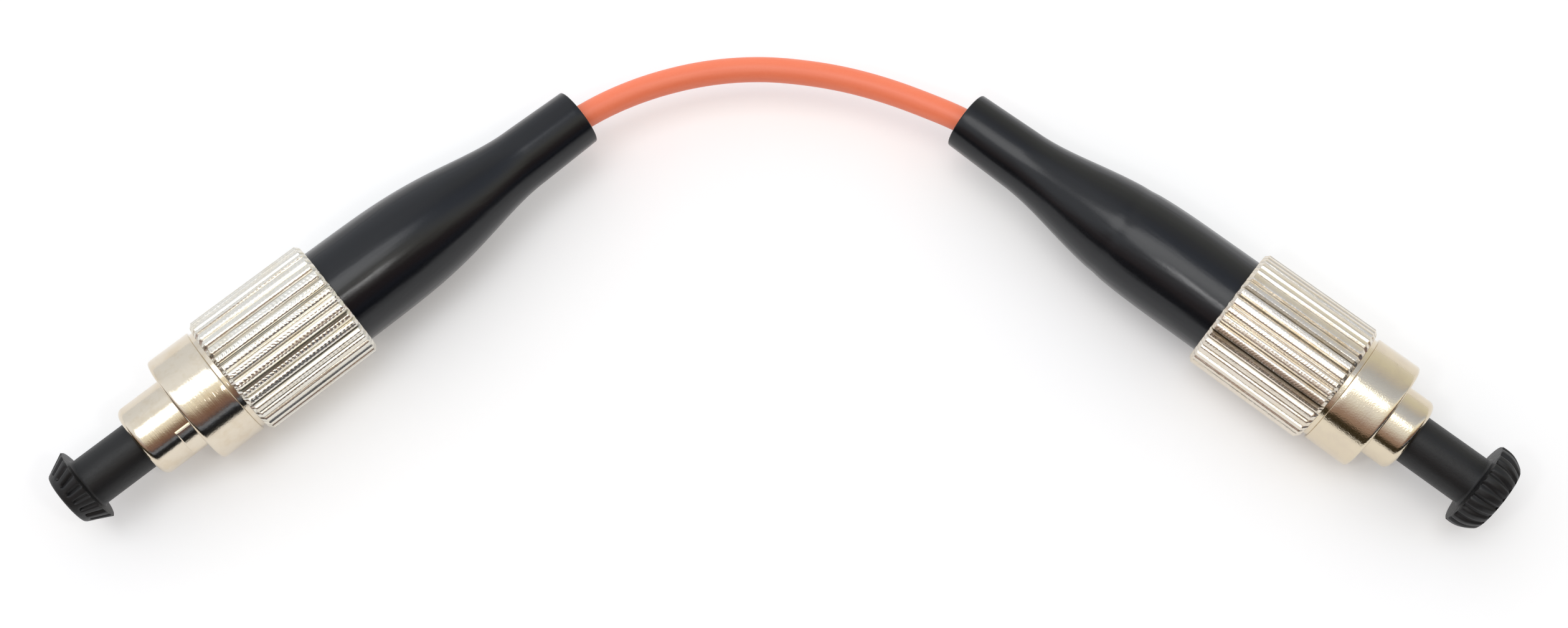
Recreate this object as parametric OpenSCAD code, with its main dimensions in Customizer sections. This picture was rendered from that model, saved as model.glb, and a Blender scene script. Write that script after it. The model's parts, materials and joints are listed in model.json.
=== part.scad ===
// Fibre loopback: two threaded ferrule plugs joined by a short orange cable.
// Each plug is drawn along its own axis, with 0 at the front face of its plug frame and
// positive distances running towards the cable.

/* [Layout] */
// Angle of each plug from the X axis, in degrees
plug_angle = 39.5; // [35:0.5:45]
// X of the left plug frame's front face
left_front_x = -47.7; // [-60:0.1:-40]
// Y of the left plug frame's front face
left_front_y = -10.2; // [-20:0.1:0]
// X of the right plug frame's front face
right_front_x = 46.6; // [40:0.1:60]
// Y of the right plug frame's front face
right_front_y = -10.9; // [-20:0.1:0]
// Distance from the left frame's front face back to its nut
left_nut_back = 3.95; // [2:0.05:4.3]
// Distance from the right frame's front face back to its nut
right_nut_back = 2.45; // [2:0.05:4.3]

/* [Ferrule] */
// Diameter of the ferrule
ferrule_d = 2.5; // [1.8:0.01:2.6]
// Length of the ferrule
ferrule_len = 10.5; // [9:0.1:12]
// How far the ferrule stands out of the frame
ferrule_reach = 2.2; // [1.5:0.1:3]
// Length of the chamfer at the ferrule's tip
ferrule_chamfer = 0.5; // [0.2:0.05:0.8]
// Diameter of the flat at the ferrule's tip
ferrule_tip_d = 1.4; // [0.8:0.1:1.7]
// Diameter of the fibre bore
fibre_bore_d = 0.13; // [0.126:0.002:0.2]
// Diameter of the bare fibre
fibre_d = 0.125; // [0.08:0.005:0.125]
// Diameter of the buffer over the fibre
buffer_d = 0.9; // [0.6:0.05:0.95]

/* [Ferrule holder] */
// Diameter of the holder's flange
holder_flange_d = 5.1; // [4.8:0.05:5.14]
// Thickness of the holder's flange
holder_flange_len = 2; // [1:0.1:2.5]
// Diameter of the sleeve that grips the ferrule
holder_sleeve_d = 3.4; // [3:0.1:3.5]
// Length of the sleeve behind the flange
holder_sleeve_len = 2.5; // [2:0.1:3]
// Diameter of the tail tube
holder_tail_d = 1.8; // [1.4:0.1:1.9]
// Length of the tail tube
holder_tail_len = 4.7; // [3:0.1:6]
// Bore of the tail tube
holder_tail_bore_d = 1; // [0.96:0.02:1.1]

/* [Spring] */
// Diameter of the spring wire
spring_wire_d = 0.4; // [0.25:0.05:0.4]
// Outside diameter of the spring
spring_d = 4.4; // [4.3:0.05:4.5]
// Number of open coils
spring_coils = 4.5; // [3:0.5:6]

/* [Plug frame] */
// Outside diameter of the frame
frame_d = 6; // [5.8:0.05:6.2]
// Length of the frame
frame_len = 11; // [10.6:0.1:11.4]
// Radius on the frame's front edge
frame_edge_r = 0.55; // [0.2:0.05:0.7]
// Bore of the frame at its mouth
frame_mouth_d = 4.5; // [4.3:0.05:4.8]
// Depth of the mouth bore
frame_mouth_len = 4.8; // [4.5:0.1:5.2]
// Bore of the frame behind the step
frame_bore_d = 5.2; // [5.2:0.05:5.3]
// Diameter of the stop flange
stop_flange_d = 6.9; // [6.6:0.05:7.1]
// Thickness of the stop flange
stop_flange_len = 1; // [0.6:0.1:1.4]
// Distance from the front face to the stop flange
stop_flange_start = 8.3; // [8:0.1:8.6]
// Width of the alignment key
key_w = 2.1; // [1.8:0.05:2.2]
// Height of the alignment key above the frame
key_h = 0.4; // [0.2:0.05:0.5]
// Distance from the front face to the key
key_start = 2.6; // [2.2:0.1:3]
// Length of the key
key_len = 5; // [4:0.1:5.4]
// Turn of the key from straight up, in degrees
key_turn = 60; // [0:5:180]
// Width of the inner rib that stops the holder turning
rib_w = 0.7; // [0.4:0.05:0.9]
// Height of the inner rib
rib_h = 0.35; // [0.2:0.05:0.4]

/* [Rear body] */
// Length of the spigot inside the frame
spigot_len = 1.4; // [1:0.1:1.6]
// Bore around the spring
spring_bore_d = 4.6; // [4.55:0.05:4.7]
// Distance from the frame's front face to the spring seat
spring_seat = 12.3; // [12:0.1:12.8]
// Bore behind the spring seat
tail_bore_d = 2.2; // [2:0.05:2.4]
// Length of the rim behind the clip groove that stays bare
rear_rim_len = 0.7; // [0.5:0.1:1]
// Diameter of the crimp neck
neck_d = 3.8; // [3.4:0.1:3.9]
// Length of the crimp neck
neck_len = 5; // [4:0.1:5.5]
// Depth of the grip grooves on the neck
neck_groove = 0.12; // [0.05:0.01:0.2]
// Number of grip grooves on the neck
neck_grooves = 6; // [3:1:8]

/* [Retaining clip] */
// Thickness of the clip
clip_t = 0.45; // [0.3:0.05:0.6]
// Outside diameter of the clip
clip_d = 7.4; // [6.8:0.1:8]
// Diameter at the bottom of the clip's groove
clip_groove_d = 5; // [4.8:0.1:5.4]
// Angle of the opening in the clip, in degrees
clip_gap_angle = 50; // [30:5:90]

/* [Coupling nut] */
// Diameter over the knurl
knurl_d = 10; // [9.6:0.1:10.4]
// Length of the knurled grip
knurl_len = 10; // [9:0.1:10.5]
// Number of ribs in the knurl
knurl_teeth = 38; // [24:2:44]
// Depth of the knurl
knurl_depth = 0.28; // [0.1:0.02:0.3]
// Chamfer at each end of the knurl
knurl_chamfer = 0.3; // [0.1:0.05:0.5]
// Diameter of the smooth collar
collar_d = 9.1; // [8.8:0.05:9.3]
// Length of the smooth collar
collar_len = 4; // [3.5:0.1:4.5]
// Radius on the collar's front edge
collar_edge_r = 0.3; // [0.1:0.05:0.4]
// Width of the undercut between collar and knurl
undercut_w = 0.35; // [0.2:0.05:0.6]
// Depth of the undercut
undercut_depth = 0.2; // [0.1:0.05:0.25]
// Inside diameter of the thread
thread_bore_d = 7.2; // [7.15:0.05:7.5]
// Distance from the nut's front face to its web
web_start = 7.5; // [7:0.1:7.8]
// Thickness of the web
web_len = 1.5; // [1:0.1:1.8]
// How far the nut slides along the plug
nut_travel = 2.6; // [2.5:0.1:2.7]
// Bore at the rear of the nut
rear_bore_d = 8.6; // [8.5:0.05:8.9]

/* [Crimp] */
// Diameter of the crimp sleeve over the neck
crimp_d = 4.9; // [4.7:0.05:5]
// Distance across the flats of the crimp
crimp_flats = 4.6; // [4.5:0.05:4.7]
// Wall of the crimp sleeve
crimp_wall = 0.3; // [0.2:0.05:0.35]
// Length of the crimp sleeve's wide part
crimp_len = 5.1; // [4.6:0.1:5.4]
// Length of the crimp sleeve's cone
crimp_cone_len = 0.8; // [0.6:0.1:1.2]
// Length of the crimp sleeve on the jacket
crimp_tail_len = 4.3; // [3:0.1:4.5]
// Diameter of the crimp sleeve on the jacket
crimp_tail_d = 2.9; // [2.6:0.05:3]

/* [Boot] */
// Diameter of the boot at the nut
boot_d = 8.15; // [7.8:0.05:8.2]
// Diameter of the boot at the cable
boot_end_d = 4.7; // [4.2:0.1:5]
// Distance from the frame's front face to the boot's cable end
boot_end = 41.3; // [39:0.1:44]
// Length of the boot's straight front
boot_straight_len = 5.4; // [4:0.1:7]
// Length of the boot's straight cable end
boot_tail_len = 5.2; // [3:0.1:7]
// How full the boot's shoulder is
boot_fullness = 1.5; // [1:0.1:2]
// Length of the boot that grips the rear body
boot_grip_len = 1; // [0.8:0.1:1.4]
// Bore of the boot around the crimp
boot_bore_d = 5.6; // [5.5:0.05:5.8]
// Bore of the boot around the crimp's tail
boot_mid_bore_d = 3.4; // [3.1:0.1:3.6]
// Bore of the boot around the cable
boot_cable_bore_d = 2.5; // [2.4:0.1:2.8]
// Diameter of the boot's mouth
boot_mouth_d = 3.3; // [3:0.1:3.6]
// Length of the flare at the boot's mouth
boot_mouth_len = 3; // [2:0.1:4]

/* [Dust caps] */
// Diameter of the cap's rod
cap_rod_d = 3.95; // [3.6:0.05:4.1]
// Depth of the cap inside the frame
cap_depth = 4.4; // [4:0.1:4.5]
// Space between the ferrule's tip and the cap's floor
cap_floor_gap = 0.3; // [0.1:0.1:0.5]
// Length of the left cap's rod outside the frame
left_cap_reach = 4.75; // [4:0.05:6]
// Length of the left cap's head
left_head_len = 1.75; // [1:0.05:2.5]
// Largest diameter of the left cap's head
left_head_d = 6; // [5.5:0.1:7]
// Diameter of the left cap's outer end
left_tip_d = 4.2; // [3:0.1:5]
// Length of the right cap's rod outside the frame
right_cap_reach = 5.5; // [4:0.05:6]
// Length of the right cap's head
right_head_len = 2; // [1:0.05:2.5]
// Largest diameter of the right cap's head
right_head_d = 6.7; // [5.5:0.1:7]
// Diameter of the right cap's outer end
right_tip_d = 5.3; // [4.5:0.1:5.5]
// Bulge of the right cap's head
right_head_bulge = 0.25; // [0:0.05:0.4]
// Number of grip ribs on a cap's head
cap_ribs = 20; // [12:2:24]
// Depth of the grooves between the ribs
cap_rib_depth = 0.18; // [0.1:0.02:0.25]

/* [Cable] */
// Diameter of the cable
cable_d = 2; // [1.6:0.1:2]

/* [Clearances] */
// Radial gap of a pressed joint
press_gap = 0.01; // [0.005:0.005:0.02]
// Radial gap of a sliding joint
slide_gap = 0.05; // [0.02:0.01:0.08]
// Radial gap between a cap's hole and the ferrule
cap_gap = 0.02; // [0.01:0.01:0.05]

/* [Hidden] */
$fn = 64;

LEFT = 0;
RIGHT = 1;

// Colours
NICKEL = [0.78, 0.72, 0.62];
STEEL = [0.70, 0.71, 0.73];
ZIRCONIA = [0.94, 0.93, 0.90];
GLASS = [0.80, 0.88, 0.92];
YARN = [0.90, 0.78, 0.30];
BOOT_BLACK = [0.05, 0.05, 0.06];
CAP_BLACK = [0.08, 0.08, 0.08];
ORANGE = [0.98, 0.48, 0.32];

// The nuts rest on the surface
axis_z = knurl_d / 2;

// Distances along a plug
holder_front = frame_mouth_len;
ferrule_rear = ferrule_len - ferrule_reach;
holder_flange_rear = holder_front + holder_flange_len;
holder_sleeve_rear = holder_flange_rear + holder_sleeve_len;
stop_flange_rear = stop_flange_start + stop_flange_len;
clip_front = stop_flange_rear + web_len + nut_travel;
clip_groove_start = clip_front - slide_gap;
clip_groove_end = clip_front + clip_t + slide_gap;
boot_start = clip_groove_end + rear_rim_len;
rear_rim_end = boot_start + boot_grip_len;
neck_end = rear_rim_end + neck_len;
crimp_start = rear_rim_end + 0.2;
crimp_wide_end = crimp_start + crimp_len;
crimp_cone_end = crimp_wide_end + crimp_cone_len;
crimp_end = crimp_cone_end + crimp_tail_len;
// The buffer stops short of the cable by the ferrule's travel and a little more
ferrule_travel = 1;
fibre_end = crimp_cone_end - ferrule_travel - 0.3;
buffer_front = ferrule_rear + 0.2;
cap_floor = -ferrule_reach - cap_floor_gap;

// Route of the cable between the two crimps, at the height of the plugs' axes
cable_route = [
    [-31.0, 3.6], [-27.6, 6.4], [-23.0, 10.2], [-18.2, 14.1], [-15.7, 15.9], [-13.3, 17.3],
    [-10.5, 18.5], [-7.4, 19.4], [-4.3, 19.9], [-1.2, 20.0], [1.9, 19.7], [5.0, 19.1],
    [8.0, 18.2], [11.0, 17.0], [14.5, 15.3], [17.1, 13.4], [21.9, 9.5], [26.5, 5.7], [29.9, 2.9]
];
cable_sides = 8;

// Puts a shape drawn along +Z onto a plug's axis
module on_plug(side) {
    front = side == LEFT ? [left_front_x, left_front_y, axis_z] : [right_front_x, right_front_y, axis_z];
    heading = side == LEFT ? plug_angle : 180 - plug_angle;
    translate(front)
        rotate([0, 0, heading])
            rotate([0, 90, 0])
                children();
}

// Turns a feature drawn on local +X up and then over towards the outside of the loop
module turned_outward(side, turn) {
    rotate([0, 0, side == LEFT ? 180 + turn : 180 - turn])
        children();
}

// A ring between two radii, from z0 to z1
module ring(outer_d, inner_d, z0, z1) {
    translate([0, 0, z0])
        difference() {
            cylinder(d = outer_d, h = z1 - z0);
            translate([0, 0, -1])
                cylinder(d = inner_d, h = z1 - z0 + 2);
        }
}

// Quarter round from (r - edge, z) to (r, z + edge), for a revolved profile
function quarter_round(r, z, edge, steps = 6) =
    [for (i = [0:steps]) let (a = 90 * i / steps)
        [r - edge + edge * sin(a), z + edge - edge * cos(a)]];

/* Ferrule and its holder */

module ferrule_body() {
    color(ZIRCONIA)
        rotate_extrude()
            polygon([
                [fibre_bore_d / 2, -ferrule_reach],
                [ferrule_tip_d / 2, -ferrule_reach],
                [ferrule_d / 2, -ferrule_reach + ferrule_chamfer],
                [ferrule_d / 2, ferrule_rear],
                [fibre_bore_d / 2 + 0.2, ferrule_rear],
                [fibre_bore_d / 2, ferrule_rear - 0.6]
            ]);
}

module ferrule_holder_body() {
    ferrule_socket_d = ferrule_d + 2 * press_gap;
    color(NICKEL)
        difference() {
            rotate_extrude()
                polygon([
                    [ferrule_socket_d / 2, holder_front],
                    [holder_flange_d / 2, holder_front],
                    [holder_flange_d / 2, holder_flange_rear],
                    [holder_sleeve_d / 2, holder_flange_rear],
                    [holder_sleeve_d / 2, holder_sleeve_rear],
                    [holder_tail_d / 2, holder_sleeve_rear],
                    [holder_tail_d / 2, holder_sleeve_rear + holder_tail_len],
                    [holder_tail_bore_d / 2, holder_sleeve_rear + holder_tail_len],
                    [holder_tail_bore_d / 2, ferrule_rear],
                    [ferrule_socket_d / 2, ferrule_rear]
                ]);
            // Notches that the frame's rib slides in, one used and three spare for tuning
            for (i = [0:3])
                rotate([0, 0, 90 * i])
                    translate([frame_bore_d / 2 - rib_h - 2 * slide_gap, -rib_w / 2 - 2 * slide_gap, holder_front - 1])
                        cube([rib_h + 1, rib_w + 4 * slide_gap, holder_flange_len + 2]);
        }
}

// Points of a spring's centre line: closed end turns and open coils between them
function spring_z(t, z0, z1, wire) =
    let (
        turns = spring_coils + 2,
        u = t * turns,
        span = z1 - z0 - 3 * wire
    )
    u < 1 ? z0 + wire / 2 + wire * u
    : u > turns - 1 ? z1 - wire / 2 - wire * (turns - u)
    : z0 + 1.5 * wire + span * (u - 1) / (turns - 2);

module spring_body() {
    steps = 20 * (spring_coils + 2);
    sides = 6;
    mean_r = (spring_d - spring_wire_d) / 2;
    z0 = holder_flange_rear;
    z1 = spring_seat;
    points = [
        for (i = [0:steps], k = [0:sides - 1])
            let (
                t = i / steps,
                a = 360 * t * (spring_coils + 2),
                b = 360 * (k + 0.5) / sides,
                r = mean_r + spring_wire_d / 2 * cos(b)
            )
            [r * cos(a), r * sin(a), spring_z(t, z0, z1, spring_wire_d) + spring_wire_d / 2 * sin(b)]
    ];
    faces = [
        [for (k = [0:sides - 1]) k],
        [for (k = [0:sides - 1]) steps * sides + sides - 1 - k],
        for (i = [0:steps - 1], k = [0:sides - 1])
            [i * sides + k, (i + 1) * sides + k, (i + 1) * sides + (k + 1) % sides, i * sides + (k + 1) % sides]
    ];
    color(STEEL)
        polyhedron(points = points, faces = faces, convexity = 10);
}

module fibre_body() {
    color(GLASS)
        rotate_extrude()
            polygon([
                [0, -ferrule_reach],
                [fibre_d / 2, -ferrule_reach],
                [fibre_d / 2, buffer_front],
                [buffer_d / 2, buffer_front],
                [buffer_d / 2, fibre_end],
                [0, fibre_end]
            ]);
}

/* Plug frame, rear body and clip */

module plug_frame_body(side) {
    color(NICKEL)
        union() {
            difference() {
                union() {
                    rotate_extrude()
                        polygon(concat(
                            quarter_round(frame_d / 2, 0, frame_edge_r),
                            [
                                [frame_d / 2, stop_flange_start],
                                [stop_flange_d / 2, stop_flange_start],
                                [stop_flange_d / 2, stop_flange_rear],
                                [frame_d / 2, stop_flange_rear],
                                [frame_d / 2, frame_len],
                                [0, frame_len],
                                [0, 0]
                            ]
                        ));
                    turned_outward(side, key_turn)
                        intersection() {
                            translate([frame_d / 2 - 0.4, -key_w / 2, key_start])
                                cube([key_h + 0.6, key_w, key_len]);
                            cylinder(d = frame_d + 2 * key_h, h = frame_len);
                        }
                }
                translate([0, 0, -1])
                    cylinder(d = frame_mouth_d, h = frame_mouth_len + 2);
                translate([0, 0, frame_mouth_len])
                    cylinder(d = frame_bore_d, h = frame_len);
            }
            turned_outward(side, key_turn)
                translate([frame_bore_d / 2 - rib_h, -rib_w / 2, frame_mouth_len])
                    cube([rib_h + 0.1, rib_w, holder_flange_len + ferrule_travel]);
        }
}

module rear_body_body() {
    spigot_d = frame_bore_d - 2 * press_gap;
    groove_pitch = (neck_len - 1) / neck_grooves;
    color(NICKEL)
        difference() {
            rotate_extrude()
                polygon([
                    [0, frame_len - spigot_len],
                    [spigot_d / 2, frame_len - spigot_len],
                    [spigot_d / 2, frame_len],
                    [frame_d / 2, frame_len],
                    [frame_d / 2, clip_groove_start],
                    [clip_groove_d / 2, clip_groove_start],
                    [clip_groove_d / 2, clip_groove_end],
                    [frame_d / 2, clip_groove_end],
                    [frame_d / 2, rear_rim_end],
                    [neck_d / 2, rear_rim_end],
                    [neck_d / 2, neck_end],
                    [0, neck_end]
                ]);
            translate([0, 0, frame_len - spigot_len - 1])
                cylinder(d = spring_bore_d, h = spring_seat - frame_len + spigot_len + 1);
            cylinder(d = tail_bore_d, h = neck_end + 1);
            for (i = [0:neck_grooves - 1])
                ring(neck_d + 1, neck_d - 2 * neck_groove,
                     rear_rim_end + 0.6 + groove_pitch * i,
                     rear_rim_end + 0.6 + groove_pitch * (i + 0.5));
        }
}

module retaining_clip_body() {
    color(STEEL)
        difference() {
            ring(clip_d, clip_groove_d + 2 * slide_gap, clip_front, clip_front + clip_t);
            // The opening, a wedge from the axis
            translate([0, 0, clip_front - 1])
                linear_extrude(clip_t + 2)
                    polygon([
                        [0, 0],
                        clip_d * [cos(clip_gap_angle / 2), sin(clip_gap_angle / 2)],
                        clip_d * [cos(clip_gap_angle / 2), -sin(clip_gap_angle / 2)]
                    ]);
        }
}

/* Coupling nut */

// Outline of the knurl: one rounded rib for each tooth, with a narrow valley between ribs
function knurl_outline() =
    let (pitch = 360 / knurl_teeth, r = knurl_d / 2)
    [for (i = [0:knurl_teeth - 1], p = [
            [-0.5, knurl_depth], [-0.32, 0.3 * knurl_depth], [-0.14, 0], [0.14, 0], [0.32, 0.3 * knurl_depth]
        ])
        (r - p[1]) * [cos(pitch * (i + p[0])), sin(pitch * (i + p[0]))]];

module knurled_grip() {
    r = knurl_d / 2;
    c = knurl_chamfer;
    intersection() {
        translate([0, 0, collar_len])
            linear_extrude(knurl_len)
                polygon(knurl_outline());
        rotate_extrude()
            polygon([
                [0, collar_len],
                [r - c, collar_len],
                [r, collar_len + c],
                [r, collar_len + knurl_len - c],
                [r - c, collar_len + knurl_len],
                [0, collar_len + knurl_len]
            ]);
    }
}

module coupling_nut_body(back) {
    nut_len = collar_len + knurl_len;
    web_bore_d = frame_d + 2 * slide_gap;
    color(NICKEL)
        translate([0, 0, back])
            difference() {
                union() {
                    knurled_grip();
                    rotate_extrude()
                        polygon(concat(
                            [[0, 0]],
                            quarter_round(collar_d / 2, 0, collar_edge_r),
                            [
                                [collar_d / 2, collar_len - undercut_w],
                                [collar_d / 2 - undercut_depth, collar_len - undercut_w],
                                [collar_d / 2 - undercut_depth, collar_len + 0.5],
                                [0, collar_len + 0.5]
                            ]
                        ));
                }
                translate([0, 0, -1])
                    cylinder(d = thread_bore_d, h = web_start + 1);
                cylinder(d = web_bore_d, h = nut_len);
                translate([0, 0, web_start + web_len])
                    cylinder(d = rear_bore_d, h = nut_len);
                // Lead-in at the thread's mouth
                rotate_extrude()
                    polygon([
                        [0, -0.1],
                        [thread_bore_d / 2 + 0.4, -0.1],
                        [thread_bore_d / 2, 0.3],
                        [0, 0.3]
                    ]);
            }
}

/* Crimp */

module aramid_yarn_body() {
    inner_r = neck_d / 2 + press_gap;
    outer_r = crimp_d / 2 - crimp_wall - press_gap;
    color(YARN)
        rotate_extrude()
            polygon([
                [inner_r, crimp_start + 0.1],
                [outer_r, crimp_start + 0.1],
                [outer_r, crimp_wide_end],
                [cable_d / 2 - press_gap, crimp_cone_end - 0.05],
                [buffer_d / 2 + 0.15, crimp_cone_end - 0.05],
                [buffer_d / 2 + 0.15, crimp_cone_end - 0.2],
                [inner_r, neck_end + 0.05]
            ]);
}

module crimp_sleeve_body() {
    r = crimp_d / 2;
    w = crimp_wall;
    hex_inset = 0.5;
    color(NICKEL)
        difference() {
            rotate_extrude()
                polygon([
                    [0, crimp_start],
                    [r, crimp_start],
                    [r, crimp_wide_end],
                    [crimp_tail_d / 2, crimp_cone_end],
                    [crimp_tail_d / 2, crimp_end],
                    [0, crimp_end]
                ]);
            rotate_extrude()
                polygon([
                    [0, crimp_start - 1],
                    [r - w, crimp_start - 1],
                    [r - w, crimp_wide_end],
                    [cable_d / 2, crimp_cone_end],
                    [cable_d / 2, crimp_end + 1],
                    [0, crimp_end + 1]
                ]);
            // Six flats that the crimping tool leaves
            for (i = [0:5])
                rotate([0, 0, 60 * i])
                    translate([crimp_flats / 2, -r, crimp_start + hex_inset])
                        cube([r, 2 * r, crimp_len - 2 * hex_inset]);
        }
}

/* Boot */

// Radius of the boot where it narrows, t from 0 at the shoulder to 1 at the tail
function boot_r(t) =
    boot_end_d / 2 + 0.12 + (boot_d / 2 - boot_end_d / 2 - 0.12) * (0.5 + 0.5 * cos(180 * pow(t, boot_fullness)));

module boot_body() {
    shoulder = boot_start + boot_straight_len;
    tail = boot_end - boot_tail_len;
    steps = 14;
    color(BOOT_BLACK)
        difference() {
            rotate_extrude()
                polygon(concat(
                    [[0, boot_start], [boot_d / 2 - 0.25, boot_start], [boot_d / 2, boot_start + 0.25]],
                    [for (i = [0:steps]) [boot_r(i / steps), shoulder + (tail - shoulder) * i / steps]],
                    [
                        [boot_end_d / 2, boot_end - 0.3],
                        [boot_end_d / 2 - 0.3, boot_end],
                        [0, boot_end]
                    ]
                ));
            rotate_extrude()
                polygon([
                    [0, boot_start - 1],
                    [frame_d / 2 + press_gap, boot_start - 1],
                    [frame_d / 2 + press_gap, rear_rim_end],
                    [boot_bore_d / 2, rear_rim_end],
                    [boot_bore_d / 2, crimp_wide_end],
                    [boot_mid_bore_d / 2, crimp_cone_end + 0.6],
                    [boot_mid_bore_d / 2, crimp_end + 0.2],
                    [boot_cable_bore_d / 2, crimp_end + 1],
                    [boot_cable_bore_d / 2, boot_end - boot_mouth_len],
                    [boot_mouth_d / 2, boot_end + 0.01],
                    [boot_mouth_d / 2, boot_end + 1],
                    [0, boot_end + 1]
                ]);
        }
}

/* Dust caps */

module dust_cap_body(reach, head_len, head_d, tip_d, bulge) {
    steps = 6;
    color(CAP_BLACK)
        difference() {
            union() {
                translate([0, 0, -reach - 0.2])
                    cylinder(d = cap_rod_d, h = reach + cap_depth + 0.2);
                rotate_extrude()
                    polygon(concat(
                        [[0, -reach]],
                        [for (i = [0:steps]) let (t = i / steps)
                            [head_d / 2 + (tip_d - head_d) / 2 * t + bulge * sin(180 * t), -reach - head_len * t]],
                        [[0, -reach - head_len]]
                    ));
            }
            translate([0, 0, cap_floor])
                cylinder(d = ferrule_d + 2 * cap_gap, h = cap_depth - cap_floor + 1);
            // Grooves between the grip ribs, along the slope of the head
            for (i = [0:cap_ribs - 1])
                rotate([0, 0, 360 * (i + 0.5) / cap_ribs])
                    translate([head_d / 2 + bulge / 2, 0, -reach])
                        rotate([180, atan((head_d - tip_d) / 2 / head_len), 0])
                            translate([0, 0, -1])
                                cylinder(r = cap_rib_depth, h = head_len + 3, $fn = 16);
        }
}

/* Cable */

// Unit direction of the route at point i, halfway between its neighbours
function route_dir(route, i) =
    let (
        a = route[max(i - 1, 0)],
        b = route[min(i + 1, len(route) - 1)]
    )
    (b - a) / norm(b - a);

module cable_body() {
    last = len(cable_route) - 1;
    points = [
        for (i = [0:last], k = [0:cable_sides - 1])
            let (
                dir = route_dir(cable_route, i),
                a = 360 * (k + 0.5) / cable_sides,
                side = cable_d / 2 * cos(a)
            )
            [cable_route[i][0] - side * dir[1], cable_route[i][1] + side * dir[0], axis_z + cable_d / 2 * sin(a)]
    ];
    faces = [
        [for (k = [0:cable_sides - 1]) k],
        [for (k = [0:cable_sides - 1]) last * cable_sides + cable_sides - 1 - k],
        for (i = [0:last - 1], k = [0:cable_sides - 1])
            [i * cable_sides + k, (i + 1) * cable_sides + k,
             (i + 1) * cable_sides + (k + 1) % cable_sides, i * cable_sides + (k + 1) % cable_sides]
    ];
    color(ORANGE)
        polyhedron(points = points, faces = faces, convexity = 6);
}

/* The sub-parts in place */

module left_dust_cap() {
    on_plug(LEFT) dust_cap_body(left_cap_reach, left_head_len, left_head_d, left_tip_d, 0);
}
module right_dust_cap() {
    on_plug(RIGHT) dust_cap_body(right_cap_reach, right_head_len, right_head_d, right_tip_d, right_head_bulge);
}
module placed_ferrule(side) { on_plug(side) ferrule_body(); }
module placed_ferrule_holder(side) { on_plug(side) turned_outward(side, key_turn) ferrule_holder_body(); }
module placed_spring(side) { on_plug(side) spring_body(); }
module placed_fibre(side) { on_plug(side) fibre_body(); }
module placed_plug_frame(side) { on_plug(side) plug_frame_body(side); }
module placed_rear_body(side) { on_plug(side) rear_body_body(); }
module placed_retaining_clip(side) { on_plug(side) retaining_clip_body(); }
module placed_coupling_nut(side) { on_plug(side) coupling_nut_body(side == LEFT ? left_nut_back : right_nut_back); }
module placed_aramid_yarn(side) { on_plug(side) aramid_yarn_body(); }
module placed_crimp_sleeve(side) { on_plug(side) crimp_sleeve_body(); }
module placed_boot(side) { on_plug(side) boot_body(); }

left_dust_cap();
placed_ferrule(LEFT);  // left_ferrule
placed_ferrule_holder(LEFT);  // left_ferrule_holder
placed_spring(LEFT);  // left_spring
placed_fibre(LEFT);  // left_fibre
placed_plug_frame(LEFT);  // left_plug_frame
placed_rear_body(LEFT);  // left_rear_body
placed_retaining_clip(LEFT);  // left_retaining_clip
placed_coupling_nut(LEFT);  // left_coupling_nut
placed_aramid_yarn(LEFT);  // left_aramid_yarn
placed_crimp_sleeve(LEFT);  // left_crimp_sleeve
placed_boot(LEFT);  // left_boot
right_dust_cap();
placed_ferrule(RIGHT);  // right_ferrule
placed_ferrule_holder(RIGHT);  // right_ferrule_holder
placed_spring(RIGHT);  // right_spring
placed_fibre(RIGHT);  // right_fibre
placed_plug_frame(RIGHT);  // right_plug_frame
placed_rear_body(RIGHT);  // right_rear_body
placed_retaining_clip(RIGHT);  // right_retaining_clip
placed_coupling_nut(RIGHT);  // right_coupling_nut
placed_aramid_yarn(RIGHT);  // right_aramid_yarn
placed_crimp_sleeve(RIGHT);  // right_crimp_sleeve
placed_boot(RIGHT);  // right_boot
cable_body();  // cable
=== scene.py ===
"""A fibre loopback: two threaded ferrule plugs with dust caps, joined by one short orange cable.

Lengths in this script are millimetres along each plug's own axis, where 0 is the front face of the plug
frame and positive distances run towards the cable. Each finished mesh is put in place in metres.
"""

import json
import math

import bmesh
import bpy
import numpy as np
from mathutils import Matrix, Vector


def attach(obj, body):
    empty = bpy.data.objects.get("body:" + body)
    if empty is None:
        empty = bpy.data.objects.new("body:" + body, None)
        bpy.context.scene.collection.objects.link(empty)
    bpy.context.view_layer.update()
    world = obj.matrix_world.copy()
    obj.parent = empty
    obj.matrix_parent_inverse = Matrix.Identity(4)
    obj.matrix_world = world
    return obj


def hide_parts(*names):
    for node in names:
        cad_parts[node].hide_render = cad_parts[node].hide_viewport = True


MM = 0.001
TAU = 2 * math.pi
UP = Vector((0, 0, 1))

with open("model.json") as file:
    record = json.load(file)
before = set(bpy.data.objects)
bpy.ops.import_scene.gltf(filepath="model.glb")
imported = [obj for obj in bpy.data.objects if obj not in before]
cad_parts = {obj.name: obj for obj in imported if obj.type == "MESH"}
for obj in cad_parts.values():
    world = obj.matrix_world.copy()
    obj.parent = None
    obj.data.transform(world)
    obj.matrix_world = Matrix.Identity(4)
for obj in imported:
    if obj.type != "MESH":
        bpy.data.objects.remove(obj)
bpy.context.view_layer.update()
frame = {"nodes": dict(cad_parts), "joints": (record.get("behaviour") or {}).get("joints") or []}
scene = bpy.context.scene
scene.view_settings.view_transform = "Standard"


# ---------------------------------------------------------------- node trees written as expressions


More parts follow.
